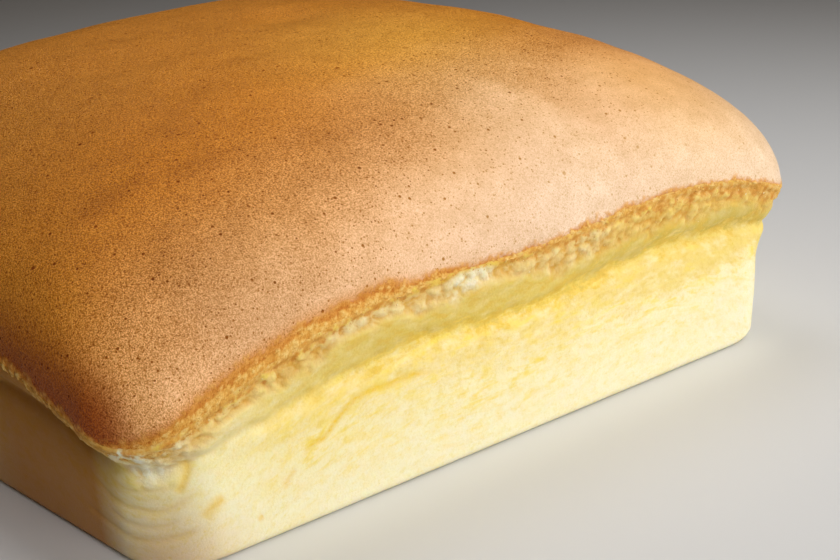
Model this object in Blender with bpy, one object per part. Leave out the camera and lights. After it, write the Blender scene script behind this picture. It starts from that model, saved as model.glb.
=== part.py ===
"""Castella sponge cake: pale, soft sides under a domed crust whose rim hangs over a creased neck.

The whole cake is one closed solid. A square grid becomes the crust, its border is carried down in
rings to become the sides, and the last ring is closed to become the flat base. Every vertex is then
placed by a function of three grid coordinates: a and b run across the crust from -1 to 1, and ring
counts the rings below the rim.
"""
import math

import bmesh
import bpy

# Base, as the square tin leaves it
BASE_WIDTH = 0.200            # along X
BASE_DEPTH = 0.190            # along Y
BASE_CORNER = 0.016           # radius of the four upright corners
BASE_EDGE_HEIGHT = 0.0022     # soft edge where the sides meet the base
BASE_EDGE_INSET = 0.0012

# Rim of the crust: the sides are numbered front -Y, right +X, back +Y, left -X, and corner n
# starts side n, so that corner 0 is front left
CORNER_HEIGHTS = (0.0356, 0.0424, 0.0350, 0.0301)
MIDDLE_HEIGHTS = (0.0515, 0.0547, 0.0550, 0.0420)
ARCH_POWER = 2.76             # how squarely the rim arches between two corners
ARCH_EASING = 0.08            # share of each half side over which the arch levels out at a corner
RIM_WAVES = 7                 # shallow sags around the whole rim
RIM_WAVE_HEIGHT = 0.0016
RIM_CORNER = 0.0178
OVERHANGS = (0.0056, 0.0072, 0.0066, 0.0108)
OVERHANG_START = 0.66         # share of the side's height where the overhang begins

# Side wall below the rim
BULGE_MIDDLE = 0.0023         # how far the soft wall swells beyond the base
BULGE_CORNER = 0.0011
BULGE_POWER = 1.1             # above 1 lifts the widest level above half height
NECK_DEPTH = 0.0011           # crease that runs under the overhang
NECK_LEVEL_MIDDLE = 0.68      # as a share of the side's height
NECK_LEVEL_CORNER = 0.76
NECK_WIDTH = 0.045
FOLD_DEPTH = 0.0011           # folds that hang round the sagging front left corner
FOLD_LEVELS = (0.30, 0.58)
FOLD_WIDTH = 0.085
FOLD_REACH = 0.20             # share of a side's length over which the folds fade

# Dome of the crust
CROWN_HEIGHT = 0.0892
CROWN_SHRINK = 0.742          # below 1 keeps the crown broad
CROWN_ROUNDING = 0.167        # how far the square outline rounds off towards the crown
EVENING = 0.22                # share of a side over which the dome is evened out along its rings
EVENING_ANGLE = 0.87          # dome angle, in radians, from which it is evened out in full
EVENING_WEIGHTS = ((-1.0, 0.0625), (-0.5, 0.25), (0.0, 0.375), (0.5, 0.25), (1.0, 0.0625))
DIMPLE_PLACE = (0.019, 0.010)
DIMPLE_RADIUS = 0.011
DIMPLE_DEPTH = 0.0012

# Mesh
CRUST_SEGMENTS = 36           # along each side of the crust
SIDE_RINGS = 17               # from the rim down to the base, the flat base ring included
RING_CROWDING = 1.35          # above 1 puts more of the rings close under the rim

CRUST_COLOUR = (0.50, 0.21, 0.045, 1.0)
CRUMB_COLOUR = (0.96, 0.80, 0.44, 1.0)
NAME = "castella_cake"


def smoothstep(value):
    """Ease from 0 to 1 without a corner at either end."""
    value = min(max(value, 0.0), 1.0)
    return value * value * (3.0 - 2.0 * value)


def clear_scene():
    for item in list(bpy.data.objects):
        bpy.data.objects.remove(item, do_unlink=True)


def side_and_place(a, b):
    """Side number and place along it, from -1 to 1, of a point on the grid's outermost square."""
    reach = max(abs(a), abs(b))
    if reach == 0.0:
        return 0, 0.0
    if b <= -reach:
        return 0, a / reach
    if a >= reach:
        return 1, b / reach
    if b >= reach:
        return 2, -a / reach
    return 3, -b / reach


def outline(side, place, half_width, half_depth, radius):
    """Point on a rounded rectangle, walked at an even pace along each side."""
    along, across = (half_width, half_depth) if side % 2 == 0 else (half_depth, half_width)
    straight = along - radius
    distance = abs(place) * (straight + radius * math.pi / 4.0)
    if distance <= straight:
        x, y = distance, -across
    else:
        angle = (distance - straight) / radius
        x = straight + radius * math.sin(angle)
        y = -across + radius * (1.0 - math.cos(angle))
    x = math.copysign(x, place)
    cosine, sine = ((1, 0), (0, 1), (-1, 0), (0, -1))[side]
    return x * cosine - y * sine, x * sine + y * cosine


def place_at(turn):
    """Side number and place along it at a turn around the cake, counted in sides."""
    whole = math.floor(turn)
    return whole % 4, 2.0 * (turn - whole) - 1.0


def arch(place):
    """1 at the middle of a side and 0 at its corners, where it levels out."""
    reach = abs(place)
    past = max(reach - 1.0 + ARCH_EASING, 0.0)
    fall = reach ** ARCH_POWER - ARCH_POWER * past ** 2 / (2.0 * ARCH_EASING)
    return 1.0 - fall / (1.0 - ARCH_POWER * ARCH_EASING / 2.0)


def rim_height(side, place):
    """Height of the rim: an arch from corner to corner with shallow sags on it."""
    start = CORNER_HEIGHTS[side]
    end = CORNER_HEIGHTS[(side + 1) % 4]
    share = (place + 1.0) / 2.0
    rise = MIDDLE_HEIGHTS[side] - (start + end) / 2.0
    height = start + (end - start) * smoothstep(share) + rise * arch(place)
    turn = 2.0 * math.pi * (side + share) / 4.0
    return height - RIM_WAVE_HEIGHT * math.cos(RIM_WAVES * turn)


def overhung_outline(side, place, share, swell, radius):
    """Outline pushed out by a share of each side's own overhang and by an even swell."""
    front, right, back, left = (overhang * share for overhang in OVERHANGS)
    half_width = BASE_WIDTH / 2.0 + swell + (right + left) / 2.0
    half_depth = BASE_DEPTH / 2.0 + swell + (front + back) / 2.0
    x, y = outline(side, place, half_width, half_depth, radius)
    return x + (right - left) / 2.0, y + (back - front) / 2.0


def corner_nearness(side, place):
    """1 at the front left corner, fading to 0 along the two sides that meet there."""
    share = (place + 1.0) / 2.0
    distance = {0: share, 3: 1.0 - share}.get(side, 1.0)
    return 1.0 - smoothstep(distance / FOLD_REACH)


def side_point(side, place, ring):
    """Point on the side wall, ring by ring from the rim down to the flat base."""
    last = SIDE_RINGS
    rim = rim_height(side, place)
    if ring == last:
        x, y = overhung_outline(side, place, 0.0, -BASE_EDGE_INSET, BASE_CORNER)
        return x, y, 0.0
    down = (ring / (last - 1)) ** RING_CROWDING
    height = rim + (BASE_EDGE_HEIGHT - rim) * down
    level = height / rim
    bulge = BULGE_MIDDLE + (BULGE_CORNER - BULGE_MIDDLE) * place ** 2
    swell = bulge * math.sin(math.pi * level ** BULGE_POWER)
    neck_level = NECK_LEVEL_MIDDLE + (NECK_LEVEL_CORNER - NECK_LEVEL_MIDDLE) * place ** 2
    swell -= NECK_DEPTH * math.exp(-((level - neck_level) / NECK_WIDTH) ** 2)
    for fold_level in FOLD_LEVELS:
        groove = math.exp(-((level - fold_level) / FOLD_WIDTH) ** 2)
        swell -= FOLD_DEPTH * groove * corner_nearness(side, place)
    overhang = smoothstep((level - OVERHANG_START) / (1.0 - OVERHANG_START))
    radius = BASE_CORNER + (RIM_CORNER - BASE_CORNER) * level
    x, y = overhung_outline(side, place, overhang, swell, radius)
    return x, y, height


def dome_point(side, place, angle):
    """Point on the dome, at an angle from 0 at the rim to a quarter turn at the crown."""
    shrink = max(math.cos(angle), 0.0) ** CROWN_SHRINK
    widest = min(BASE_WIDTH, BASE_DEPTH) / 2.0
    radius = RIM_CORNER + (widest - RIM_CORNER) * CROWN_ROUNDING * math.sin(angle) ** 2
    x, y = overhung_outline(side, place, 1.0, 0.0, radius)
    rim = rim_height(side, place)
    return x * shrink, y * shrink, rim + (CROWN_HEIGHT - rim) * math.sin(angle)


def crust_point(side, place, reach):
    """Dome point evened out along its ring, so that no ridge or valley climbs from a corner."""
    angle = (1.0 - reach) * math.pi / 2.0
    spread = EVENING * smoothstep(angle / EVENING_ANGLE)
    turn = side + (place + 1.0) / 2.0
    x, y, height = 0.0, 0.0, 0.0
    for step, weight in EVENING_WEIGHTS:
        point = dome_point(*place_at(turn + step * spread), angle)
        x += weight * point[0]
        y += weight * point[1]
        height += weight * point[2]
    away = math.hypot(x - DIMPLE_PLACE[0], y - DIMPLE_PLACE[1])
    return x, y, height - DIMPLE_DEPTH * math.exp(-(away / DIMPLE_RADIUS) ** 2)


def cake_point(a, b, ring):
    side, place = side_and_place(a, b)
    if ring > 0:
        return side_point(side, place, ring)
    return crust_point(side, place, max(abs(a), abs(b)))


def build_grid():
    """Closed box of quads: a grid on top, its border carried down in rings, and a flat base."""
    bm = bmesh.new()
    bmesh.ops.create_grid(bm, x_segments=CRUST_SEGMENTS, y_segments=CRUST_SEGMENTS, size=1.0)
    for ring in range(1, SIDE_RINGS + 1):
        border = [edge for edge in bm.edges if edge.is_boundary]
        made = bmesh.ops.extrude_edge_only(bm, edges=border)["geom"]
        for vertex in (item for item in made if isinstance(item, bmesh.types.BMVert)):
            vertex.co.z = -ring
    bmesh.ops.holes_fill(bm, edges=[edge for edge in bm.edges if edge.is_boundary], sides=0)
    return bm


def centre_on_base(bm):
    """Move the shape so that its box is centred on the origin and stands on z = 0."""
    xs = [vertex.co.x for vertex in bm.verts]
    ys = [vertex.co.y for vertex in bm.verts]
    shift = (-(min(xs) + max(xs)) / 2.0, -(min(ys) + max(ys)) / 2.0, 0.0)
    bmesh.ops.translate(bm, verts=bm.verts, vec=shift)


def make_material(name, colour, roughness):
    material = bpy.data.materials.new(name)
    material.use_nodes = True
    shader = material.node_tree.nodes["Principled BSDF"]
    shader.inputs["Base Color"].default_value = colour
    shader.inputs["Roughness"].default_value = roughness
    shader.inputs["Metallic"].default_value = 0.0
    return material


def make_cake(collection):
    bm = build_grid()
    for face in bm.faces:
        on_crust = all(vertex.co.z > -0.5 for vertex in face.verts)
        face.material_index = 0 if on_crust else 1
    for vertex in bm.verts:
        a, b, depth = vertex.co
        vertex.co = cake_point(a, b, round(-depth))
    bmesh.ops.recalc_face_normals(bm, faces=bm.faces)
    centre_on_base(bm)
    mesh = bpy.data.meshes.new(NAME)
    bm.to_mesh(mesh)
    bm.free()
    mesh.materials.append(make_material("browned_crust", CRUST_COLOUR, 0.55))
    mesh.materials.append(make_material("sponge_crumb", CRUMB_COLOUR, 0.80))
    mesh.shade_smooth()
    cake = bpy.data.objects.new(NAME, mesh)
    collection.objects.link(cake)
    return cake


def main():
    clear_scene()
    collection = bpy.data.collections.new(NAME)
    bpy.context.scene.collection.children.link(collection)
    make_cake(collection)


main()
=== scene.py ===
# %% [markdown]
# # A castella sponge cake
# A castella is a tall sponge raised with whipped egg white. It is baked in a square tin lined with
# paper, so its sides come out pale and soft, while the top browns into a thin, satin crust that
# domes up and hangs over the sides. This lesson builds such a cake from three pieces: the crust,
# the crumb below it, and the loose crumbs along the torn edge where the two part.

# %% Load the frame
import math

import bpy
import numpy as np
from mathutils import Matrix, Vector, noise


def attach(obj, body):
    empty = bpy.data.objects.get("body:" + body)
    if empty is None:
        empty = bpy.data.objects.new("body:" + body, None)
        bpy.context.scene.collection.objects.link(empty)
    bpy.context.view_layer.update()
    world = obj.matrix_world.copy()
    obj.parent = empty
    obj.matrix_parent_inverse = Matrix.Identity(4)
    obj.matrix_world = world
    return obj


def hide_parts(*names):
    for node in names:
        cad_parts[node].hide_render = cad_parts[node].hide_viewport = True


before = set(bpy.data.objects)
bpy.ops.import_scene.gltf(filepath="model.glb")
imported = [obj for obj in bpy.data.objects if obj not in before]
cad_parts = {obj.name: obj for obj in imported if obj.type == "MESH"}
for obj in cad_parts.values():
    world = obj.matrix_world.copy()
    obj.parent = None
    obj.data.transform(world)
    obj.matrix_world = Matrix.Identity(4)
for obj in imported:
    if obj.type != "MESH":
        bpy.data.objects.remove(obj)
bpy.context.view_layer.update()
CAKE = "castella_cake"

# %% [markdown]
# ## Camera
# The camera looks down on the near corner from a little above, through a long lens, so that the
# front side and the crust share the view and the left side shows only as a dark sliver. It is
# tilted a few degrees, as a camera held in the hand is.

# %% Camera
CAMERA_TURN = math.radians(-39.55)
CAMERA_PITCH = math.radians(20.0)
CAMERA_ROLL = math.radians(-3.08)
CAMERA_DISTANCE = 0.5138
CAMERA_TARGET = Vector((0.0107, -0.0544, 0.0300))
CAMERA_LENS = 85.7


def add_camera():
    """Puts the camera at its distance from the target and makes it the scene's own."""
    back = Vector((math.sin(CAMERA_TURN) * math.cos(CAMERA_PITCH),
                   -math.cos(CAMERA_TURN) * math.cos(CAMERA_PITCH),
                   math.sin(CAMERA_PITCH)))
    level_right = Vector((math.cos(CAMERA_TURN), math.sin(CAMERA_TURN), 0.0))
    level_up = back.cross(level_right)
    right = math.cos(CAMERA_ROLL) * level_right + math.sin(CAMERA_ROLL) * level_up
    up = back.cross(right)
    data = bpy.data.cameras.new("camera")
    data.lens = CAMERA_LENS
    data.clip_start = 0.01
    camera = bpy.data.objects.new("camera", data)
    turned = Matrix((right, up, back)).transposed().to_4x4()
    camera.matrix_world = Matrix.Translation(CAMERA_TARGET + back * CAMERA_DISTANCE) @ turned
    bpy.context.scene.collection.objects.link(camera)
    bpy.context.scene.camera = camera
    print("camera at", [round(value, 3) for value in camera.location])


add_camera()

# %% [markdown]
# ## Floor and light
# Three soft round lamps stand in a row around the front of the cake: the strongest to the front
# left, a low one to the front right, and a high one beside that. Together they act as one wide
# window, and two weak ones, above the front and the back, fill the top. Each lamp is hooded, so
# that its light falls on the cake and fades behind it, which leaves the left side in shadow. A
# weak, warm surround keeps that shadow from going black.

# %% Floor and light
# Each lamp has a bearing from +X towards +Y and a height above the floor, in degrees, and watts.
LAMPS = {
    "front lamp": (-117.0, 33.0, 0.635),
    "low lamp": (-42.0, 13.0, 0.56),
    "high lamp": (-30.0, 46.0, 0.26),
    "overhead lamp": (-80.0, 75.0, 0.15),
    "back lamp": (88.0, 65.0, 0.25),
}
LAMP_AIM = Vector((0.06, -0.08, 0.03))
LAMP_DISTANCE = 0.80
LAMP_SIZE = 0.45
LAMP_SPREAD = math.radians(70.0)
SURROUND = (0.34, 0.21, 0.08, 1.0)
SURROUND_STRENGTH = 0.10
FLOOR_SIZE = 6.0
FLOOR_GREY = (0.66, 0.66, 0.66, 1.0)
FLOOR_ROUGHNESS = 0.7


def add_lamp(name, bearing, height, power):
    """A soft round lamp that looks at the cake from a bearing and a height."""
    bearing, height = math.radians(bearing), math.radians(height)
    direction = Vector((math.cos(bearing) * math.cos(height), math.sin(bearing) * math.cos(height),
                        math.sin(height)))
    data = bpy.data.lights.new(name, "AREA")
    data.shape = "DISK"
    data.size = LAMP_SIZE
    data.spread = LAMP_SPREAD
    data.energy = power
    lamp = bpy.data.objects.new(name, data)
    lamp.location = LAMP_AIM + direction * LAMP_DISTANCE
    lamp.rotation_euler = direction.to_track_quat("Z", "Y").to_euler()
    bpy.context.scene.collection.objects.link(lamp)
    print(name, "at", [round(value, 2) for value in lamp.location])


def add_floor():
    """A square of plain floor under the cake, which stays out of the export."""
    half = FLOOR_SIZE / 2.0
    mesh = bpy.data.meshes.new("floor")
    corners = [(-half, -half, 0.0), (half, -half, 0.0), (half, half, 0.0), (-half, half, 0.0)]
    mesh.from_pydata(corners, [], [(0, 1, 2, 3)])
    material = bpy.data.materials.new("pale floor")
    material.use_nodes = True
    shader = material.node_tree.nodes["Principled BSDF"]
    shader.inputs["Base Color"].default_value = FLOOR_GREY
    shader.inputs["Roughness"].default_value = FLOOR_ROUGHNESS
    mesh.materials.append(material)
    floor = bpy.data.objects.new("floor", mesh)
    bpy.context.scene.collection.objects.link(floor)
    print("floor", FLOOR_SIZE, "m wide")


def add_surround():
    """A weak glow of one colour from all around."""
    world = bpy.data.worlds.new("surround")
    world.use_nodes = True
    glow = world.node_tree.nodes["Background"]
    glow.inputs["Color"].default_value = SURROUND
    glow.inputs["Strength"].default_value = SURROUND_STRENGTH
    bpy.context.scene.world = world


add_floor()
for name, (bearing, height, power) in LAMPS.items():
    add_lamp(name, bearing, height, power)
add_surround()
bpy.context.scene.view_settings.view_transform = "Standard"

# %% [markdown]
# ## The shape as a rule
# The cake's sizes are the same named values that its solid is made from, so the dressed pieces lie
# on the solid without any fitting. The functions below work on whole arrays at once. A column is a
# number for its side and a place along that side from -1 to 1.

# %% Sizes
# Base, as the square tin leaves it
BASE_WIDTH = 0.200
BASE_DEPTH = 0.190
BASE_CORNER = 0.016
BASE_EDGE_HEIGHT = 0.0022
# Rim of the crust: sides are numbered front, right, back, left, and corner n starts side n
CORNER_HEIGHTS = np.array((0.0356, 0.0424, 0.0350, 0.0301))
MIDDLE_HEIGHTS = np.array((0.0515, 0.0547, 0.0550, 0.0420))
ARCH_POWER = 2.76
ARCH_EASING = 0.08
RIM_WAVES = 7
RIM_WAVE_HEIGHT = 0.0016
RIM_CORNER = 0.0178
OVERHANGS = (0.0056, 0.0072, 0.0066, 0.0108)
OVERHANG_START = 0.66
# Side wall below the rim, with its swelling and its neck
BULGE_MIDDLE = 0.0023
BULGE_CORNER = 0.0011
BULGE_POWER = 1.1
NECK_DEPTH = 0.0011
NECK_LEVEL_MIDDLE = 0.68
NECK_LEVEL_CORNER = 0.76
NECK_WIDTH = 0.045
NECK_WAVES = ((13, 0.010), (29, 0.008), (61, 0.007), (113, 0.005))   # waves around the cake, height
# Dome of the crust
CROWN_HEIGHT = 0.0892
CROWN_SHRINK = 0.742
CROWN_ROUNDING = 0.167
EVENING = 0.22
EVENING_ANGLE = 0.87
EVENING_WEIGHTS = ((-1.0, 0.0625), (-0.5, 0.25), (0.0, 0.375), (0.5, 0.25), (1.0, 0.0625))
DIMPLE_PLACE = (0.019, 0.010)
DIMPLE_RADIUS = 0.011
DIMPLE_DEPTH = 0.0012
# The solid is centred on its box, so the shape moves by half the difference of its overhangs
CENTRE_X = (OVERHANGS[1] - OVERHANGS[3]) / 2.0
CENTRE_Y = (OVERHANGS[2] - OVERHANGS[0]) / 2.0
print("base in mm:", 1000.0 * BASE_WIDTH, "x", 1000.0 * BASE_DEPTH)


# %% Outline and rim
def smoothstep(value):
    """Eases from 0 to 1 without a corner at either end."""
    value = np.clip(value, 0.0, 1.0)
    return value * value * (3.0 - 2.0 * value)


def outline(side, place, half_width, half_depth, radius):
    """Rounded rectangle, walked at an even pace along each side."""
    even = side % 2 == 0
    half_length = np.where(even, half_width, half_depth)
    across = np.where(even, half_depth, half_width)
    straight = half_length - radius
    distance = np.abs(place) * (straight + radius * np.pi / 4.0)
    angle = np.clip((distance - straight) / radius, 0.0, None)
    x = np.where(angle > 0.0, straight + radius * np.sin(angle), distance)
    x = np.copysign(x, place)
    y = radius * (1.0 - np.cos(angle)) - across
    cosine = np.array((1, 0, -1, 0))[side]
    sine = np.array((0, 1, 0, -1))[side]
    return x * cosine - y * sine, x * sine + y * cosine


def overhung_outline(side, place, share, swell, radius):
    """Outline pushed out by a share of each side's own overhang and by an even swell."""
    front, right, back, left = (overhang * share for overhang in OVERHANGS)
    half_width = BASE_WIDTH / 2.0 + swell + (right + left) / 2.0
    half_depth = BASE_DEPTH / 2.0 + swell + (front + back) / 2.0
    x, y = outline(side, place, half_width, half_depth, radius)
    return x + (right - left) / 2.0 - CENTRE_X, y + (back - front) / 2.0 - CENTRE_Y


def place_at(turn):
    """Side and place at a turn around the cake, counted in sides."""
    whole = np.floor(turn)
    return whole.astype(int) % 4, 2.0 * (turn - whole) - 1.0


def arch(place):
    """1 at the middle of a side and 0 at its corners, where it levels out."""
    reach = np.abs(place)
    past = np.clip(reach - 1.0 + ARCH_EASING, 0.0, None)
    fall = reach ** ARCH_POWER - ARCH_POWER * past ** 2 / (2.0 * ARCH_EASING)
    return 1.0 - fall / (1.0 - ARCH_POWER * ARCH_EASING / 2.0)


def rim_height(side, place):
    """Height of the rim: an arch from corner to corner with shallow sags on it."""
    start = CORNER_HEIGHTS[side]
    end = CORNER_HEIGHTS[(side + 1) % 4]
    share = (place + 1.0) / 2.0
    rise = MIDDLE_HEIGHTS[side] - (start + end) / 2.0
    height = start + (end - start) * smoothstep(share) + rise * arch(place)
    turn = 2.0 * np.pi * (side + share) / 4.0
    return height - RIM_WAVE_HEIGHT * np.cos(RIM_WAVES * turn)


print("rim in mm, corners and middles:",
      [np.round(1000.0 * rim_height(np.arange(4), place), 1).tolist() for place in (-1.0, 0.0)])


# %% Sides and dome
def neck_level(side, place):
    """Level of the neck as a share of the side's height; it wavers a little."""
    level = NECK_LEVEL_MIDDLE + (NECK_LEVEL_CORNER - NECK_LEVEL_MIDDLE) * place ** 2
    turn = 2.0 * np.pi * (side + (place + 1.0) / 2.0) / 4.0
    return level + sum(height * np.sin(waves * turn + waves) for waves, height in NECK_WAVES)


def side_surface(side, place, height, inset):
    """Side wall at a height, moved inwards by an inset."""
    level = height / rim_height(side, place)
    bulge = BULGE_MIDDLE + (BULGE_CORNER - BULGE_MIDDLE) * place ** 2
    swell = bulge * np.sin(np.pi * np.clip(level, 0.0, 1.0) ** BULGE_POWER)
    swell = swell - NECK_DEPTH * np.exp(-((level - neck_level(side, place)) / NECK_WIDTH) ** 2)
    overhang = smoothstep((level - OVERHANG_START) / (1.0 - OVERHANG_START))
    radius = BASE_CORNER + (RIM_CORNER - BASE_CORNER) * level
    x, y = overhung_outline(side, place, overhang, swell - inset, radius)
    return np.stack((x, y, height + 0.0 * x), -1)


def dome_point(side, place, angle):
    """Dome at an angle that runs from 0 at the rim to a quarter turn at the crown."""
    shrink = np.clip(np.cos(angle), 0.0, 1.0) ** CROWN_SHRINK
    widest = min(BASE_WIDTH, BASE_DEPTH) / 2.0
    radius = RIM_CORNER + (widest - RIM_CORNER) * CROWN_ROUNDING * np.sin(angle) ** 2
    x, y = overhung_outline(side, place, 1.0, 0.0, radius)
    x = (x + CENTRE_X) * shrink
    y = (y + CENTRE_Y) * shrink
    rim = rim_height(side, place)
    return np.stack((x, y, rim + (CROWN_HEIGHT - rim) * np.sin(angle)), -1)


def dome_surface(side, place, angle):
    """Crust: the dome evened out along its rings, with its dimple, centred like the solid."""
    spread = EVENING * smoothstep(angle / EVENING_ANGLE)
    turn = side + (place + 1.0) / 2.0
    point = sum(weight * dome_point(*place_at(turn + step * spread), angle)
                for step, weight in EVENING_WEIGHTS)
    away = np.hypot(point[:, 0] - DIMPLE_PLACE[0], point[:, 1] - DIMPLE_PLACE[1])
    point[:, 2] -= DIMPLE_DEPTH * np.exp(-(away / DIMPLE_RADIUS) ** 2)
    return point - np.array((CENTRE_X, CENTRE_Y, 0.0))


front_neck = side_surface(np.array([0]), 0.0, neck_level(0, 0.0) * rim_height(0, 0.0), 0.0)[0]
print("neck at the front's middle, in mm:", np.round(1000.0 * front_neck, 1).tolist())

# %% [markdown]
# ## The side unrolled
# What happens along the rim is easiest to say on the unrolled side: how far along it, and how far
# below the rim. The way along is measured from the front's middle, to the right as a plus and to
# the left as a minus, and the two meet at the back.

# %% Way round the cake
ROUNDING = (2.0 - np.pi / 2.0) * BASE_CORNER      # what the corners take off the way along a side
WAY_ROUND = 2.0 * (BASE_WIDTH + BASE_DEPTH) - 4.0 * ROUNDING


def way_round(side, place):
    """Metres along the side from the front's middle, positive to the right, halved at the back."""
    even = BASE_WIDTH - ROUNDING
    odd = BASE_DEPTH - ROUNDING
    length = np.where(side % 2 == 0, even, odd)
    middle = np.array((0.0, (even + odd) / 2.0, even + odd, -(even + odd) / 2.0))[side]
    way = middle + place * length / 2.0
    return np.where(way > even + odd, way - 2.0 * (even + odd), way)


def rolled(way, below):
    """The side rolled into a tube: patterns drawn on it run with the rim and meet at the back."""
    radius = WAY_ROUND / (2.0 * np.pi)
    return np.stack((radius * np.cos(way / radius), radius * np.sin(way / radius), -below), -1)


def along(way, stops):
    """A value that runs straight from stop to stop around the cake; places are in millimetres."""
    places, values = zip(*stops)
    return np.interp(way * 1000.0, places, values, period=WAY_ROUND * 1000.0)


def border_columns(counts):
    """Side and place of the columns around the cake, so many to each side, from the front left."""
    side = np.repeat(np.arange(4), counts)
    place = np.concatenate([np.arange(count) * 2.0 / count - 1.0 for count in counts])
    return side, place


print("way round the cake:", round(float(WAY_ROUND), 4), "m")

# %% [markdown]
# ## From numbers to a mesh
# A piece is made from rows of points that go once around the cake, with quads between each row and
# the next. Numbers such as the depth below the rim are painted on the points, because a finish can
# read them later, and a little smooth noise keeps long edges from looking cut.

# %% Mesh helpers
def strips(rows):
    """Quads between rows of vertex numbers that go once around the cake, highest row first."""
    quads = []
    for upper, lower in zip(rows[:-1], rows[1:]):
        quads.append(np.stack((upper, lower, np.roll(lower, -1), np.roll(upper, -1)), 1))
    return np.concatenate(quads).tolist()


def new_piece(name, points, faces, material):
    """A smooth-shaded object, at the origin, from points and faces."""
    mesh = bpy.data.meshes.new(name)
    mesh.from_pydata(np.asarray(points).tolist(), [], faces)
    mesh.materials.append(material)
    mesh.shade_smooth()
    mesh.update()
    piece = bpy.data.objects.new(name, mesh)
    bpy.context.scene.collection.objects.link(piece)
    print(name, len(points), "points,", sum(len(face) - 2 for face in faces), "triangles")
    return piece


def paint(piece, name, values):
    """Stores a number or a vector for each vertex, for a material or a node tree to read."""
    values = np.asarray(values, dtype=np.float32)
    kind, field = ("FLOAT", "value") if values.ndim == 1 else ("FLOAT_VECTOR", "vector")
    painted = piece.data.attributes.new(name, kind, "POINT")
    painted.data.foreach_set(field, values.ravel())


SEED_STEPS = (7.31, 3.17, 5.73)       # how far each seed moves the noise along the axes


def wander(points, size, seed):
    """Smooth noise from -1 to 1 whose bumps are about size metres across."""
    shift = Vector([seed * step for step in SEED_STEPS])
    return np.array([noise.noise(Vector(point) / size + shift) for point in points])


print("a wander at three points:",
      wander([(0.0, 0.0, 0.0), (0.004, 0.0, 0.0), (0.008, 0.0, 0.0)], 0.011, 1).round(2).tolist())

# %% [markdown]
# ## Nodes from a script
# Finishes and relief are both made of nodes. One helper adds a node and fills its inputs with
# numbers or with other nodes' outputs, and the others are short names for what is needed all the
# time: sums, products, soft ramps, and colours given as a screen shows them.

# %% Node helpers
def add(tree, kind, inputs=None, **settings):
    """Adds a node, sets it up, and sets or links its inputs."""
    node = tree.nodes.new(kind)
    for name, value in settings.items():
        setattr(node, name, value)
    for name, value in (inputs or {}).items():
        socket = node.inputs[name]
        if isinstance(value, bpy.types.NodeSocket):
            tree.links.new(value, socket)
        else:
            socket.default_value = value
    return node


def maths(tree, operation, first, *others):
    """A chain of maths nodes that takes each further value in turn, giving the last output."""
    result = first
    for value in others:
        node = add(tree, "ShaderNodeMath", {0: result, 1: value}, operation=operation)
        result = node.outputs[0]
    return result


def plus(tree, *values):
    return maths(tree, "ADD", *values)


def minus(tree, first, second):
    return maths(tree, "SUBTRACT", first, second)


def times(tree, *values):
    return maths(tree, "MULTIPLY", *values)


def ramp(tree, value, start, end, low=0.0, high=1.0):
    """Eases from low to high as the value goes from start to end."""
    node = add(tree, "ShaderNodeMapRange", {
        "Value": value, "From Min": start, "From Max": end, "To Min": low, "To Max": high},
        interpolation_type="SMOOTHSTEP")
    return node.outputs["Result"]


def colour(red, green, blue):
    """A colour as a screen shows it, from 0 to 255, made linear for a shader."""
    channels = [value / 255.0 for value in (red, green, blue)]
    linear = [c / 12.92 if c <= 0.04045 else ((c + 0.055) / 1.055) ** 2.4 for c in channels]
    return (*linear, 1.0)


print("half-bright grey is", round(colour(128, 128, 128)[0], 3), "to a shader")

# %% [markdown]
# ## Crust
# The crust is a thin skin. Here it is a closed lid: a fine square grid follows the dome, a few
# rings carry it just below the rim to a ragged edge, a narrow lip turns in, and a fan closes it
# where the crumb hides it. The grid's rings are spread evenly along the dome's curve.

# %% Crust mesh
GRID = 280                    # faces along each side of the cake
ANGLE_STEPS = 600
EDGE_ROWS = 6
EDGE_RAGGED = 0.0010
RAGGED_WAVES = ((0.9, 0.011), (0.8, 0.0035), (0.5, 0.0016))      # share and size of each wander
EDGE_LEAST = 0.0002
LIP = ((0.00005, 0.00025), (0.0, 0.0010), (-0.0004, 0.0024))     # beyond the edge, and inset
LID_DEPTH = 0.004                     # of the hidden middle of the lid, below the rim
# Around the cake, in millimetres: how far the crust reaches below the rim, and the width of the
# fringe of golden crumbs that it ends in
EDGE_DROPS = ((-150, 1.2), (-112, 2.6), (-104, 4.2), (-96, 4.0), (-88, 1.8), (-78, 0.8), (-28, 0.8),
              (-20, 0.2), (-6, 0.2), (2, 0.8), (100, 0.8), (250, 0.8))
FRINGE_WIDTHS = ((-150, 1.4), (-110, 0.4), (-104, 0.3), (-98, 1.2), (-86, 3.0), (-78, 3.6),
                 (-58, 3.4), (-33, 2.4), (-26, 1.4), (-4, 0.9), (4, 0.8), (100, 0.6), (130, 1.2),
                 (250, 1.5))


def even_angles(reach):
    """Dome angle for each grid ring, so that rings lie evenly along the curve."""
    angle = np.linspace(0.0, np.pi / 2.0, ANGLE_STEPS)
    across = BASE_WIDTH / 2.0 * np.cos(angle) ** CROWN_SHRINK
    up = (CROWN_HEIGHT - MIDDLE_HEIGHTS.mean()) * np.sin(angle)
    way = np.concatenate(([0.0], np.cumsum(np.hypot(np.diff(across), np.diff(up)))))
    return np.interp(1.0 - reach, way / way[-1], angle)


def side_and_place(a, b):
    """Side and place of each grid point, seen from the middle of the grid."""
    reach = np.maximum(np.abs(a), np.abs(b))
    side = np.select([b <= -reach, a >= reach, b >= reach], [0, 1, 2], 3)
    run = np.select([side == 0, side == 1, side == 2], [a, b, -a], -b)
    return side, run / np.where(reach > 0.0, reach, 1.0), reach


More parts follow.
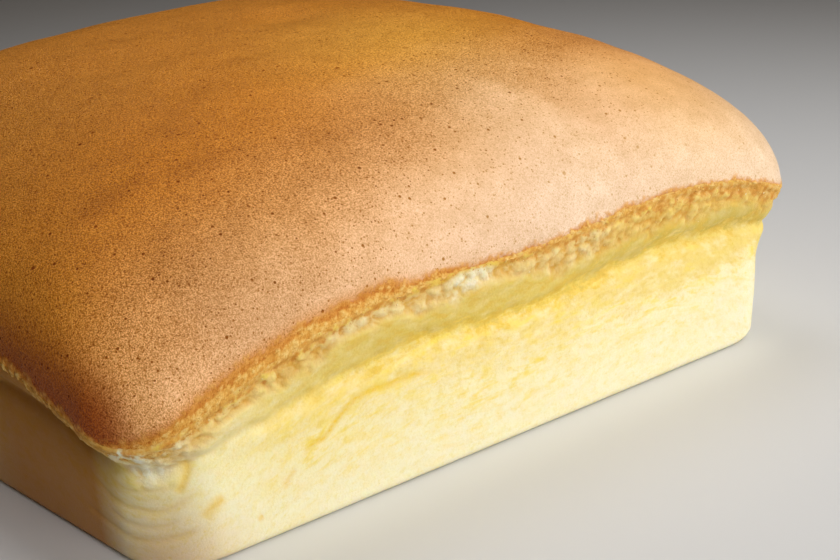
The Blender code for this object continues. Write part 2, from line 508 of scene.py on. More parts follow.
def ragged_edge(side, place):
    """How far the crust reaches below the rim in each column."""
    rim = rim_height(side, place)
    points = side_surface(side, place, rim, 0.0)
    drop = along(way_round(side, place), EDGE_DROPS) / 1000.0
    drop = drop + EDGE_RAGGED * sum(share * wander(points, size, seed)
                                    for seed, (share, size) in enumerate(RAGGED_WAVES, 1))
    return np.clip(drop, EDGE_LEAST, None)


def build_crust(material):
    """The lid: the dome's grid, its drop to the ragged edge, the lip, and the hidden fan."""
    steps = np.linspace(-1.0, 1.0, GRID + 1)
    a, b = (values.ravel() for values in np.meshgrid(steps, steps))
    side, place, reach = side_and_place(a, b)
    points = [dome_surface(side, place, even_angles(reach))]
    below = [rim_height(side, place) - points[0][:, 2]]
    ways = [way_round(side, place)]
    numbers = np.arange((GRID + 1) ** 2).reshape(GRID + 1, GRID + 1)
    quads = np.stack((numbers[:-1, :-1], numbers[:-1, 1:], numbers[1:, 1:], numbers[1:, :-1]), -1)
    border = np.concatenate((numbers[0, :-1], numbers[:-1, -1],
                             numbers[-1, :0:-1], numbers[:0:-1, 0]))
    side, place = border_columns((GRID,) * 4)
    rim = rim_height(side, place)
    edge = ragged_edge(side, place)
    rows = [(edge * step / EDGE_ROWS, 0.0) for step in range(1, EDGE_ROWS + 1)]
    rows += [(edge + beyond, inset) for beyond, inset in LIP]
    rings = [border]
    total = len(a)
    for drop, inset in rows:
        points.append(side_surface(side, place, rim - drop, inset))
        below.append(drop)
        ways.append(way_round(side, place))
        rings.append(total + np.arange(len(side)))
        total += len(side)
    points.append(np.array(((0.0, 0.0, rim.mean() - LID_DEPTH),)))
    below.append(np.zeros(1))
    ways.append(np.zeros(1))
    rings.append(np.full(len(side), total))
    faces = quads.reshape(-1, 4).tolist() + strips(rings[:-1])
    faces += [(int(one), total, int(two)) for one, two in zip(rings[-2], np.roll(rings[-2], -1))]
    piece = new_piece("crust", np.concatenate(points), faces, material)
    below, way = np.concatenate(below), np.concatenate(ways)
    paint(piece, "below_rim", below * 1000.0)
    paint(piece, "rolled", rolled(way, below))
    paint(piece, "fringe", along(way, FRINGE_WIDTHS))
    return piece


print("crust grid:", GRID, "x", GRID, "faces")

# %% [markdown]
# ## Crumb
# The pale crumb is one closed body from the flat base up to just inside the crust. Its rows crowd
# together below the rim, where the sponge has torn, and each point carries the numbers that the
# finish needs: how far it lies below the rim, its share of the way to the neck, the creases, and
# what changes from place to place along the rim.

# %% Creases
# Each crease is a run of points on the unrolled side: metres along from the front's middle, and
# metres up. Then come its half width, its depth, and how strongly it is tinted.
CREASES = (
    (((-0.0635, 0.0175), (-0.0590, 0.0205), (-0.0555, 0.0212), (-0.0517, 0.0245),
      (-0.0474, 0.0273), (-0.0412, 0.0283), (-0.0370, 0.0279), (-0.0336, 0.0284),
      (-0.0284, 0.0280), (-0.0205, 0.0264)),
     0.0005, 0.0002, 1.0),
    (((-0.0680, 0.0120), (-0.0655, 0.0150), (-0.0640, 0.0160)), 0.0006, 0.0001, 0.5),
    (((-0.0935, 0.0190), (-0.0915, 0.0230), (-0.0895, 0.0275)), 0.0008, 0.0002, 0.7),
    (((-0.0885, 0.0120), (-0.0860, 0.0145), (-0.0830, 0.0162)), 0.0011, 0.0001, 0.7),
    (((-0.0750, 0.0070), (-0.0735, 0.0078)), 0.0007, 0.0001, 0.6),
    (((-0.119, 0.0202), (-0.112, 0.0165), (-0.1035, 0.0152), (-0.0966, 0.0152),
      (-0.0885, 0.0196)),
     0.0008, 0.0004, 0.30),
    (((-0.124, 0.0105), (-0.116, 0.0089), (-0.105, 0.0073), (-0.097, 0.0080), (-0.088, 0.0103)),
     0.0008, 0.0004, 0.30),
    (((-0.110, 0.0225), (-0.105, 0.0205), (-0.0975, 0.0207), (-0.0930, 0.0222)),
     0.0006, 0.0003, 0.2),
    (((-0.113, 0.0128), (-0.106, 0.0112), (-0.099, 0.0110), (-0.093, 0.0131)),
     0.0006, 0.0003, 0.2),
)
CREASE_REACH = 5.0                    # half widths from its middle within which a crease is felt
CREASE_FADE = 0.15                    # share of its length over which each end fades
TINT_SPREAD = 1.3                     # width of the tint as a share of the groove's


def smooth_run(points, steps=10):
    """Catmull-Rom curve through a crease's points."""
    points = np.array(points)
    padded = np.vstack((2 * points[0] - points[1], points, 2 * points[-1] - points[-2]))
    share = np.linspace(0.0, 1.0, steps, endpoint=False)[:, None]
    run = []
    for before, start, end, after in zip(padded, padded[1:], padded[2:], padded[3:]):
        run.append(0.5 * (2 * start + (end - before) * share
                          + (2 * before - 5 * start + 4 * end - after) * share ** 2
                          + (3 * start - before - 3 * end + after) * share ** 3))
    return np.vstack(run + [points[-1:]])


def crease_fields(way, height):
    """Depth and tint that the creases give to points on the unrolled side."""
    depth = np.zeros(len(way))
    tint = np.zeros(len(way))
    for points, half_width, deepest, strength in CREASES:
        run = smooth_run(points)
        reach = CREASE_REACH * half_width
        near = ((way > run[:, 0].min() - reach) & (way < run[:, 0].max() + reach)
                & (height > run[:, 1].min() - reach) & (height < run[:, 1].max() + reach))
        spots = np.stack((way[near], height[near]), 1)
        away = np.full(len(spots), 1.0)
        share = np.zeros(len(spots))
        for number, (start, end) in enumerate(zip(run[:-1], run[1:])):
            step = end - start
            passed = np.clip(((spots - start) @ step) / (step @ step), 0.0, 1.0)
            gap = np.hypot(*(spots - start - passed[:, None] * step).T)
            closer = gap < away
            away = np.where(closer, gap, away)
            share = np.where(closer, (number + passed) / (len(run) - 1), share)
        fade = smoothstep(share / CREASE_FADE) * smoothstep((1.0 - share) / CREASE_FADE)
        groove = np.exp(-(away / half_width) ** 2) * fade
        depth[near] = np.maximum(depth[near], deepest * groove)
        stain = np.exp(-(away / (TINT_SPREAD * half_width)) ** 2) * fade
        tint[near] = np.maximum(tint[near], strength * stain)
    return depth, tint


print("creases:", len(CREASES))

# %% [markdown]
# ### What changes along the rim
# A real tear isn't even: here it is wide and white, there narrow and scorched, and the moist band
# below it is pressed hard or not at all. Each such trait is a short table of values at places
# along the rim. The crumb carries them as painted numbers, so that relief and finish agree.

# %% What changes along the rim
# Each table gives a value at places around the cake, in millimetres from the front's middle.
# Width of the torn band, in millimetres below the rim
TEAR_WIDTHS = ((-150, 7.0), (-112, 7.5), (-104, 9.0), (-100, 13.0), (-97, 12.5), (-93, 8.5),
               (-88, 7.0), (-60, 6.0), (-24, 7.0), (-17, 7.5), (-4, 7.5), (4, 8.5), (14, 10.5),
               (28, 12.0), (60, 10.0), (80, 8.2), (104, 7.2), (250, 7.5))
# Reach of its orange-brown crumbs, in millimetres below the rim
SCORCH_REACHES = ((-150, 2.5), (-104, 2.6), (-98, 1.4), (-86, 1.8), (-76, 2.3), (-60, 2.3),
                  (-35, 1.8), (-24, 0.6), (-18, -1.4), (-6, -1.4), (1, 0.6), (6, 2.0), (35, 2.6),
                  (65, 4.0), (100, 4.3), (115, 3.0), (250, 2.5))
# From 0 to 1, how white the tears are
TEAR_PALENESS = ((-150, 0.20), (-114, 0.10), (-104, 0.20), (-101, 0.80), (-99, 1.0), (-96, 0.90),
                 (-92, 0.45), (-88, 0.50), (-83, 0.22), (-56, 0.15), (-44, 0.40), (-26, 0.30),
                 (-19, 0.35), (-15, 0.78), (-8, 0.78), (-3, 0.30), (6, 0.25), (26, 0.32),
                 (34, 0.12), (90, 0.10), (104, 0.60), (125, 0.35), (250, 0.30))
# From 0 to 1, how far the moist band under the tear is pressed
PRESSINGS = ((-150, 0.45), (-100, 0.10), (-75, 0.15), (-60, 0.40), (-48, 0.65), (-36, 0.85),
             (100, 1.0), (130, 0.80), (250, 0.60))
# From 0 to 1, how strongly painted shade turns the left side amber
PAINTED_SHADE_STOPS = ((-350, 0.0), (-300, 0.25), (-235, 0.36), (-150, 0.88), (-118, 0.86), (-111, 0.46),
              (-104, 0.05), (-100, 0.0), (200, 0.0))
# From 0 to 1, how yellow the sponge is under the pressed band
YELLOWINGS = ((-150, 0.40), (-110, 0.10), (10, 0.0), (45, 0.55), (95, 0.80), (130, 0.5), (250, 0.5))
CHANGES = {"tear_width": TEAR_WIDTHS, "scorch_reach": SCORCH_REACHES, "paleness": TEAR_PALENESS,
           "pressing": PRESSINGS, "painted_shade": PAINTED_SHADE_STOPS, "yellowing": YELLOWINGS}
print("values at the front's middle:",
      {name: round(float(along(0.0, stops)), 2) for name, stops in CHANGES.items()})

# %% [markdown]
# ### The crumb's mesh
# The rows start hidden inside the crust, crowd over the tear, and spread out down the wall to the
# soft edge of the base. A fan of triangles closes the top and another the base. The front has the
# most columns, because that is where the tear is seen closest.

# %% Crumb mesh
HIDDEN_ROWS = ((0.0040, 0.0030), (0.0025, 0.0018), (0.0012, 0.0012))   # above the rim, inset
TORN_ROWS = 36
WALL_ROWS = 40
SIDE_COLUMNS = (400, 240, 240, 240)
BASE_EDGE = ((0.0014, 0.0003), (0.0008, 0.0007), (0.0003, 0.0014), (0.0, 0.0026))   # height, inset
NECK_MARGIN = 0.03                    # how far past the neck the fine rows go on
CORE_HEIGHT = 0.006                   # of the hidden middle of the top, above the rim
CORE_SHARE = 3.0                      # way to the neck painted on the middle of the base
# Loose ends of the tear at the front corners: way, height, half length, half height, how far out
NUBS = ((0.097, 0.0305, 0.007, 0.0045, 0.0017), (-0.1015, 0.0240, 0.0085, 0.0050, 0.0024),
        (-0.0750, 0.0300, 0.022, 0.0050, 0.0010))


def torn_nubs(way, height):
    """How far the loose ends of the tear stand out."""
    stand = 0.0 * way
    for place, up, half_length, half_height, amount in NUBS:
        stand = stand + amount * np.exp(-((way - place) / half_length) ** 2
                                        - ((height - up) / half_height) ** 2)
    return stand


def build_crumb(material):
    """The sponge: a hidden top, fine rows over the tear, wider ones down the wall, and the base."""
    side, place = border_columns(SIDE_COLUMNS)
    rim = rim_height(side, place)
    neck = neck_level(side, place)
    way = way_round(side, place)
    rows = [(rim + above, inset) for above, inset in HIDDEN_ROWS]
    for step in range(TORN_ROWS):
        level = 1.0 - (1.0 - neck + NECK_MARGIN) * step / TORN_ROWS
        rows.append((rim * level, 0.0))
    top = rim * (neck - NECK_MARGIN)
    for step in range(WALL_ROWS):
        rows.append((top + (BASE_EDGE_HEIGHT - top) * step / (WALL_ROWS - 1), 0.0))
    rows += [(height + 0.0 * rim, inset) for height, inset in BASE_EDGE]
    count = len(side)
    points = [np.array(((0.0, 0.0, rim.mean() + CORE_HEIGHT),))]
    below, share, tints = [np.zeros(1)], [np.zeros(1)], [np.zeros(1)]
    rings = [np.zeros(count, dtype=int)]
    for number, (height, inset) in enumerate(rows):
        depth, tint = crease_fields(way, height)
        depth = depth - torn_nubs(way, height)
        points.append(side_surface(side, place, height, inset + depth))
        below.append(rim - height)
        share.append((rim - height) / (rim * (1.0 - neck)))
        tints.append(tint)
        rings.append(1 + number * count + np.arange(count))
    last = 1 + len(rows) * count
    points.append(np.zeros((1, 3)))
    below.append(np.full(1, rim.mean()))
    share.append(np.full(1, CORE_SHARE))
    tints.append(np.zeros(1))
    faces = [(0, int(one), int(two)) for one, two in zip(rings[1], np.roll(rings[1], -1))]
    faces += strips(rings[1:])
    faces += [(int(one), last, int(two)) for one, two in zip(rings[-1], np.roll(rings[-1], -1))]
    piece = new_piece("crumb", np.concatenate(points), faces, material)
    ways = np.concatenate((np.zeros(1), np.tile(way, len(rows)), np.zeros(1)))
    below = np.concatenate(below)
    paint(piece, "below_rim", below * 1000.0)
    paint(piece, "rolled", rolled(ways, below))
    paint(piece, "neck_share", np.concatenate(share))
    paint(piece, "crease", np.concatenate(tints))
    for name, stops in CHANGES.items():
        paint(piece, name, along(ways, stops))
    return piece


print("crumb columns:", sum(SIDE_COLUMNS), "rows:",
      len(HIDDEN_ROWS) + TORN_ROWS + WALL_ROWS + len(BASE_EDGE))

# %% [markdown]
# ## Finishes
# All three finishes are built from nodes, out of a few helpers. Noise and ramps give soft patches
# and edges, and a tint is multiplied onto a colour, so that it darkens or lightens what lies under
# it. Everything is drawn on the piece itself or on its rolled-up side, so nothing slides when the
# cake is seen from elsewhere.

# %% Finish helpers
def start_material(name):
    """A material, its node tree, its shader, and the place on the piece."""
    material = bpy.data.materials.new(name)
    material.use_nodes = True
    tree = material.node_tree
    place = add(tree, "ShaderNodeTexCoord").outputs["Object"]
    return material, tree, tree.nodes["Principled BSDF"], place


def attribute(tree, name, output="Fac"):
    """What was painted on the piece under a name."""
    return add(tree, "ShaderNodeAttribute", attribute_name=name).outputs[output]


def grain(tree, place, size, detail=2.0, roughness=0.5, distortion=0.0, stretch=(1.0, 1.0, 1.0)):
    """Noise from 0 to 1 with features about size metres across, stretched along the axes."""
    if stretch != (1.0, 1.0, 1.0):
        place = add(tree, "ShaderNodeMapping", {"Vector": place, "Scale": stretch}).outputs[0]
    cloud = add(tree, "ShaderNodeTexNoise", {
        "Vector": place, "Scale": 1.0 / size, "Detail": detail, "Roughness": roughness,
        "Distortion": distortion})
    return cloud.outputs["Fac"]


def mix(tree, share, first, second, blend="MIX"):
    """Goes from the first colour to the second as the share goes from 0 to 1."""
    node = add(tree, "ShaderNodeMix", {0: share, 6: first, 7: second}, data_type="RGBA",
               blend_type=blend)
    return node.outputs[2]


def tinted(tree, tone, tint):
    """A colour multiplied by a tint."""
    return mix(tree, 1.0, tone, tint, "MULTIPLY")


def shade(value):
    """A grey tint."""
    return (value, value, value, 1.0)


def gradient(tree, value, stops):
    """A colour ramp from a list of place and colour."""
    node = add(tree, "ShaderNodeValToRGB", {0: value})
    elements = node.color_ramp.elements
    while len(elements) < len(stops):
        elements.new(0.5)
    for element, (place, tone) in zip(elements, stops):
        element.position = place
        element.color = tone
    return node.outputs["Color"]


def vectors(tree, operation, output, inputs):
    """One vector maths node, giving the output with a name."""
    return add(tree, "ShaderNodeVectorMath", inputs, operation=operation).outputs[output]


def soft_spot(tree, place, centre, radius, most=1.0):
    """The most at the centre, easing to 0 at the radius."""
    away = vectors(tree, "DISTANCE", "Value", {0: place, 1: centre})
    return ramp(tree, away, radius, 0.0, 0.0, most)


def soft_streak(tree, place, start, end, width):
    """1 on the line from start to end, easing to 0 at a width from it."""
    run = Vector(end) - Vector(start)
    offset = vectors(tree, "SUBTRACT", "Vector", {0: place, 1: start})
    share = vectors(tree, "DOT_PRODUCT", "Value", {0: offset, 1: run / run.length_squared})
    nearest = vectors(tree, "SCALE", "Vector", {0: run, "Scale": ramp(tree, share, 0.0, 1.0)})
    away = vectors(tree, "DISTANCE", "Value", {0: offset, 1: nearest})
    return ramp(tree, away, width, 0.0)


def set_bump(tree, shader, height, distance, strength=1.0):
    """Fine relief that only the light sees."""
    bump = add(tree, "ShaderNodeBump",
               {"Height": height, "Distance": distance, "Strength": strength})
    tree.links.new(bump.outputs[0], shader.inputs["Normal"])


def scatter_light(shader, weight, radius, scale):
    """Lets light a little way into the sponge: each colour goes its radius times the scale."""
    shader.inputs["Subsurface Weight"].default_value = weight
    shader.inputs["Subsurface Radius"].default_value = radius
    shader.inputs["Subsurface Scale"].default_value = scale


def made(material):
    """Says how many nodes a finish took, and passes it on."""
    print("finish", repr(material.name), "has", len(material.node_tree.nodes), "nodes")
    return material


print("finish helpers ready, a grey tint is", shade(0.5))

# %% [markdown]
# ### The crust's colour
# Sugar and heat brown the top, most of all where it stands highest in the oven and at the left
# corner, while the front right stays tan. The deep brown at the left corner and slope is partly
# painted shade, and the tan of the front right is partly painted sheen. One slow ramp across the
# cake gives that change, and spots and streaks with soft edges give the uneven oven its say; the
# pale spot on the top is partly painted sheen, and the one at the left front corner painted light.

# %% Crust tone
CRUST_BROWN = colour(251, 172, 70)
CRUST_TAN_AND_SHEEN = colour(252, 228, 205)
CRUST_DEEP_AND_SHADE = colour(173, 79, 6)
# The deep tone, partly browning and partly painted shade where the crust turns away from the
# light, comes in over these metres across and up on the left slope, and over these metres across
# and millimetres below the rim at the left corner
SLOPE_ACROSS, SLOPE_UP = (-0.100, -0.108), (0.064, 0.040)
CORNER_ACROSS, CORNER_BELOW = (-0.093, -0.102), (-5.0, -1.0)
DEEP_SHARE = 0.90
# The crust pales towards the front right: partly less browned, partly painted sheen
PALE_BEARING = (0.264, -0.963, -0.058)
PALE_FROM = (0.033, 0.122)            # metres towards that bearing
PALE_DRIFT = 0.005                    # how far the clouds shift the change, in metres
CLOUDS = (0.045, 3.0, 0.55, 0.6)      # size in metres, detail, roughness and distortion
CLOUD_TINTS = ((0.36, shade(0.93)), (0.62, shade(1.0)))
PATCHES = (0.006, 3.0, 0.6)
PATCH_TINTS = ((0.34, (0.90, 0.87, 0.80, 1.0)), (0.64, shade(1.0)))
# Centre, radius and tint of each spot: above 1 a tint makes the crust paler, below 1 browner. The
# first, on the top, is partly painted sheen and the fourth, at the left front corner, painted
# light;
# the others are baked browner.
BAKED_AND_LIT_SPOTS = (
    ((0.031, -0.040, 0.092), 0.064, (1.22, 1.53, 1.90, 1.0)),
    ((0.076, -0.075, 0.086), 0.070, (0.92, 0.72, 0.40, 1.0)),
    ((-0.067, -0.057, 0.080), 0.057, (0.92, 0.84, 0.55, 1.0)),
    ((-0.104, -0.090, 0.046), 0.032, (1.18, 1.20, 1.20, 1.0)),
    ((0.008, -0.096, 0.064), 0.040, (0.94, 0.92, 0.90, 1.0)),
    ((0.024, -0.085, 0.074), 0.030, (0.94, 0.91, 0.84, 1.0)),
    ((-0.072, -0.096, 0.058), 0.034, (0.86, 0.84, 0.80, 1.0)),
    ((-0.004, -0.082, 0.075), 0.030, (0.95, 0.92, 0.82, 1.0)),
)
# From, to, half width and tint of the faint streaks
BAKED_STREAKS = (
    ((-0.082, -0.056, 0.074), (-0.030, -0.071, 0.080), 0.0085, (0.84, 0.80, 0.74, 1.0)),
    ((-0.056, -0.046, 0.083), (-0.018, -0.022, 0.088), 0.0075, (0.86, 0.83, 0.78, 1.0)),
)


def paling_and_sheen(tree, place, clouds):
    """From 0 on the brown crust to 1 on the pale one, partly painted sheen; the change wavers with
    the clouds.
    """
    toward = vectors(tree, "DOT_PRODUCT", "Value", {0: place, 1: PALE_BEARING})
    drift = ramp(tree, clouds, 0.2, 0.8, -PALE_DRIFT, PALE_DRIFT)
    return ramp(tree, plus(tree, toward, drift), *PALE_FROM)


def baked_tone(tree, place, below, pale, clouds):
    """Brown to tan, then spots, streaks, clouds and patches, and the deep left corner, partly
    painted shade.
    """
    tone = mix(tree, pale, CRUST_BROWN, CRUST_TAN_AND_SHEEN)
    # Baked spots, with the painted sheen and painted light of two pale ones
    for centre, radius, tint in BAKED_AND_LIT_SPOTS:
        tone = mix(tree, soft_spot(tree, place, centre, radius), tone, tinted(tree, tone, tint))
    for start, end, width, tint in BAKED_STREAKS:
        line = times(tree, soft_streak(tree, place, start, end, width),
                     ramp(tree, clouds, 0.30, 0.55, 0.5, 1.0))
        tone = mix(tree, line, tone, tinted(tree, tone, tint))
    tone = tinted(tree, tone, gradient(tree, clouds, CLOUD_TINTS))
    tone = tinted(tree, tone, gradient(tree, grain(tree, place, *PATCHES), PATCH_TINTS))
    across, _, up = add(tree, "ShaderNodeSeparateXYZ", {0: place}).outputs
    left_slope = times(tree, ramp(tree, across, *SLOPE_ACROSS), ramp(tree, up, *SLOPE_UP))
    left_corner_shade = times(tree, ramp(tree, across, *CORNER_ACROSS), ramp(tree, below, *CORNER_BELOW))
    # Browning together with painted shade on the left slope and corner
    deep = times(tree, maths(tree, "MAXIMUM", left_slope, left_corner_shade), DEEP_SHARE)
    return mix(tree, deep, tone, CRUST_DEEP_AND_SHADE)


print("crust tone:", len(BAKED_AND_LIT_SPOTS), "baked spots and", len(BAKED_STREAKS), "streaks")

# %% [markdown]
# ### Bubbles in the crust
# The bubbles of the whipped egg white burst as the crust dries. The finest leave a dark, close-set
# speckle, and the others open as pinholes in three sizes. Cells of a Voronoi texture place them
# and give each one its own width, and both fade where the crust is pale.

# %% Crust grain and pores
SPECKLE_SPACING = 0.00078
SPECKLE_SHARE = 0.55
GRIT = (0.00034, 1.0, 0.6)            # size in metres, detail and roughness
GRAIN_MIDDLE = 0.45                   # the grain's mean, about which the crown softens it
# Spacing, smallest and largest radius in metres, and the share of cells that hold a pinhole
FINE_PORES = (0.0009, 0.00020, 0.00034, 0.55)
MEDIUM_PORES = (0.0022, 0.00027, 0.00052, 0.55)
LARGE_PORES = (0.0120, 0.00045, 0.00085, 0.50)
SPECKLE_TINTS = (
    (0.00, shade(1.0)),
    (0.25, (0.82, 0.748, 0.61, 1.0)),
    (0.50, (0.67, 0.56, 0.365, 1.0)),
    (0.75, (0.54, 0.41, 0.21, 1.0)),
    (1.00, (0.43, 0.29, 0.11, 1.0)),
)
PORE_TINTS = (
    (0.00, shade(1.0)),
    (0.25, (0.80, 0.70, 0.50, 1.0)),
    (0.50, (0.62, 0.48, 0.24, 1.0)),
    (0.75, (0.48, 0.32, 0.10, 1.0)),
    (1.00, (0.36, 0.20, 0.04, 1.0)),
)


def voronoi(tree, place, spacing):
    """Distance to the nearest cell's middle, and that cell's own random colour."""
    cells = add(tree, "ShaderNodeTexVoronoi", {"Vector": place, "Scale": 1.0 / spacing})
    own = add(tree, "ShaderNodeSeparateColor", {0: cells.outputs["Color"]})
    return cells.outputs["Distance"], own.outputs


def speckle(tree, place, spacing):
    """Close-set soft specks, each as dark as its own cell of the texture says."""
    distance, own = voronoi(tree, place, spacing)
    return times(tree, ramp(tree, distance, 0.55, 0.10), ramp(tree, own[0], 0.0, 1.0, 0.3, 1.0))


def pinholes(tree, place, spacing, smallest, largest, kept):
    """1 inside round spots of random width; kept is the share of cells that have one."""
    distance, own = voronoi(tree, place, spacing)
    spread = maths(tree, "POWER", own[0], 2.0)
    radius = ramp(tree, spread, 0.0, 1.0, smallest / spacing, largest / spacing)
    there = maths(tree, "LESS_THAN", own[1], kept)
    depth = minus(tree, 1.0, maths(tree, "DIVIDE", distance, radius))
    return times(tree, ramp(tree, depth, 0.0, 0.5), there)


def crust_grain(tree, place, pale, sharp):
    """Speckle and grit together, weak on the pale part."""
    grit = ramp(tree, grain(tree, place, *GRIT), 0.24, 0.76, 0.86, -0.14)
    coarse = plus(tree, times(tree, speckle(tree, place, SPECKLE_SPACING), SPECKLE_SHARE), grit)
    grains = plus(tree, times(tree, minus(tree, coarse, GRAIN_MIDDLE), sharp), GRAIN_MIDDLE)
    return times(tree, grains, ramp(tree, pale, 0.15, 0.70, 1.0, 0.25))


def crust_pores(tree, place, pale, sharp):
    """The three sizes of pinholes, sparse on the pale part."""
    strength = times(tree, sharp, ramp(tree, pale, 0.45, 0.95, 0.88, 0.20))
    fine, medium, large = (pinholes(tree, place, *pores)
                           for pores in (FINE_PORES, MEDIUM_PORES, LARGE_PORES))
    return maths(tree, "MAXIMUM", times(tree, fine, strength, 0.75),
                 times(tree, maths(tree, "MAXIMUM", medium, large), strength, 1.15))


print("largest pinholes in mm:",
      [round(2000.0 * largest, 2) for _, _, largest, _ in (FINE_PORES, MEDIUM_PORES, LARGE_PORES)])

# %% [markdown]
# ### The torn edge of the crust
# Where the skin ends it crumbles into lumps that go from orange-brown to gold. The line between
# skin and crumbs is made ragged by noise, and begins higher where the fringe is wide.

# %% Crust edge
RIM_TINT = colour(222, 146, 62)
EDGE_LUMPS = (0.0015, 3.0, 0.6)       # size in metres, detail and roughness
EDGE_WAVER = (0.004, 2.0)
EDGE_CRUMBLE = (0.0006, 2.0, 0.6)
CRUMBLED_TINTS = (
    (0.32, (0.80, 0.66, 0.46, 1.0)),
    (0.48, (1.0, 1.0, 1.0, 1.0)),
)
EDGE_TONES = (
    (0.30, colour(190, 112, 30)),
    (0.50, colour(210, 140, 54)),
    (0.70, colour(226, 168, 88)),
)
FRINGE_TONES = (
    (0.30, colour(206, 134, 42)),
    (0.50, colour(224, 168, 78)),
    (0.70, colour(238, 202, 124)),
)


def crust_edge(tree, strip, lumps, past_crust, fringe, pale):
    """How far the skin has turned to crumbs, and the colour of the crumbs."""
    ragged = plus(tree, past_crust, ramp(tree, lumps, 0.25, 0.75, -0.7, 0.7),
                  ramp(tree, grain(tree, strip, *EDGE_WAVER), 0.25, 0.75, -0.8, 0.8))
    onset = minus(tree, times(tree, fringe, 0.35), times(tree, pale, 0.30))
    edge = ramp(tree, plus(tree, ragged, onset), -1.1, 1.1)
    crumbs = mix(tree, ramp(tree, ragged, 0.6, 1.6), gradient(tree, lumps, EDGE_TONES),
                 gradient(tree, lumps, FRINGE_TONES))
    crumbled = gradient(tree, grain(tree, strip, *EDGE_CRUMBLE), CRUMBLED_TINTS)
    return edge, tinted(tree, crumbs, crumbled)


print("edge lumps in mm:", 1000.0 * EDGE_LUMPS[0])

# %% [markdown]
# ### The crust's finish
# The steps are laid over each other in the order in which the oven made them: the baked colour,
# the browner rim, the speckle, the pinholes and the crumbs of the edge. The same grain and
# pinholes also roughen the gloss and press a fine relief into the skin.

# %% Crust finish
RIM_EASING = 0.4                      # keeps the rim's tint soft where there is no fringe
RIM_REACH = (-1.2, 0.0)               # in fringe widths above the end of the skin
RIM_FRINGES = (0.6, 2.4, 0.0, 0.50)   # fringe widths from and to, and the rim tint's share there
CROWN_SOFTENING = (0.089, 0.079, 0.75, 1.0)      # heights from and to, and the grain's share there
SATIN = (0.02, 3.0)                   # size in metres and detail of the changes in gloss


def crust_material():
    material, tree, shader, place = start_material("browned crust")
    strip = attribute(tree, "rolled", "Vector")
    below = attribute(tree, "below_rim")
    fringe = attribute(tree, "fringe")
    past_crust = plus(tree, below, fringe)
    clouds = grain(tree, place, *CLOUDS)
    pale = paling_and_sheen(tree, place, clouds)
    near_edge = maths(tree, "DIVIDE", past_crust, plus(tree, fringe, RIM_EASING))
    rimmed = times(tree, ramp(tree, near_edge, *RIM_REACH), ramp(tree, fringe, *RIM_FRINGES))
    tone = mix(tree, rimmed, baked_tone(tree, place, below, pale, clouds), RIM_TINT)
    up = add(tree, "ShaderNodeSeparateXYZ", {0: place}).outputs[2]
    sharp = ramp(tree, up, *CROWN_SOFTENING)
    grains = crust_grain(tree, place, pale, sharp)
    dots = crust_pores(tree, place, pale, sharp)
    tone = tinted(tree, tone, gradient(tree, grains, SPECKLE_TINTS))
    tone = tinted(tree, tone, gradient(tree, dots, PORE_TINTS))
    lumps = grain(tree, strip, *EDGE_LUMPS)
    edge, crumbs = crust_edge(tree, strip, lumps, past_crust, fringe, pale)
    tree.links.new(mix(tree, edge, tone, crumbs), shader.inputs["Base Color"])
    satin = ramp(tree, grain(tree, place, *SATIN), 0.3, 0.7, 0.40, 0.48)
    rough = plus(tree, satin, times(tree, edge, 0.25), times(tree, dots, 0.40))
    tree.links.new(rough, shader.inputs["Roughness"])
    shader.inputs["Specular IOR Level"].default_value = 0.22
    pitted = times(tree, plus(tree, grains, times(tree, dots, 0.4)), -1.0)
    height = plus(tree, pitted, times(tree, lumps, edge, 1.6))
    set_bump(tree, shader, height, 0.00014, 0.9)
    return material


crust_finish = made(crust_material())

# %% [markdown]
# ### The crumb's colour
# Below the tear, a dull green-gold band shows where the moist sponge was pressed, then comes a
# dark yellow crease, and then marbled yellow that pales towards the base. Two colour ramps, one
# for pressed and one for loose sponge, follow the depth below the rim. Noise drawn on the
# rolled-up side bends the bands, so that they read as baked.

# %% Crumb tone
# Size in metres, detail, roughness, distortion and stretch of the noise on the rolled-up side
BROAD = (0.016, 3.0, 0.55, 0.5, (1.0, 1.0, 2.0))
STREAKS = (0.0045, 4.0, 0.62, 0.6, (0.40, 0.40, 2.0))
MOTTLE = (0.0017, 3.0, 0.65, 0.0, (0.8, 0.8, 1.2))
FIBRE = (0.0007, 3.0, 0.65, 0.0, (0.8, 0.8, 1.2))
BLOTCHES = (0.0032, 2.0, 0.5, 0.0, (0.7, 0.7, 1.3))
BAND_SCALE = 0.25                     # the bands end at four times the way from rim to neck
PRESSED_BANDS = (
    (0.00, colour(238, 208, 134)),
    (0.09, colour(230, 200, 106)),
    (0.14, colour(228, 202, 105)),
    (0.21, colour(223, 194, 92)),
    (0.245, colour(236, 201, 78)),
    (0.280, colour(234, 208, 128)),
    (0.38, colour(242, 224, 168)),
    (0.50, colour(246, 234, 190)),
    (0.68, colour(245, 236, 200)),
    (1.00, colour(243, 234, 202)),
)
LOOSE_BANDS = (
    (0.00, colour(243, 218, 142)),
    (0.15, colour(242, 218, 136)),
    (0.30, colour(245, 223, 142)),
    (0.50, colour(247, 231, 176)),
    (0.70, colour(245, 235, 196)),
    (1.00, colour(243, 234, 202)),
)
GOLD_TINT = (0.95, 0.90, 0.58, 1.0)   # what the darker mottling leaves of the colour
PALE_TINT = colour(248, 240, 206)     # blotches that stayed clear of the marbling
YELLOWED = colour(234, 206, 112)      # under the pressed band, to the right
# Painted shade on the pressed band where it yellows, to the right
BAND_SHADE_TINT = (0.85, 0.84, 0.84, 1.0)    # what the same place leaves of the band itself
MARBLE_TONE = colour(244, 218, 104)
STAIN_TONE = colour(226, 184, 66)     # blotches inside the pressed band
# Painted light: a paler spot on the wall near the front left corner, where the lamps' light falls
# off
PAINTED_LIGHT_TONE = colour(255, 249, 218)
PAINTED_LIGHT_SPOT = ((-0.086, -0.099, 0.021), 0.026, 0.55)     # centre, radius and share


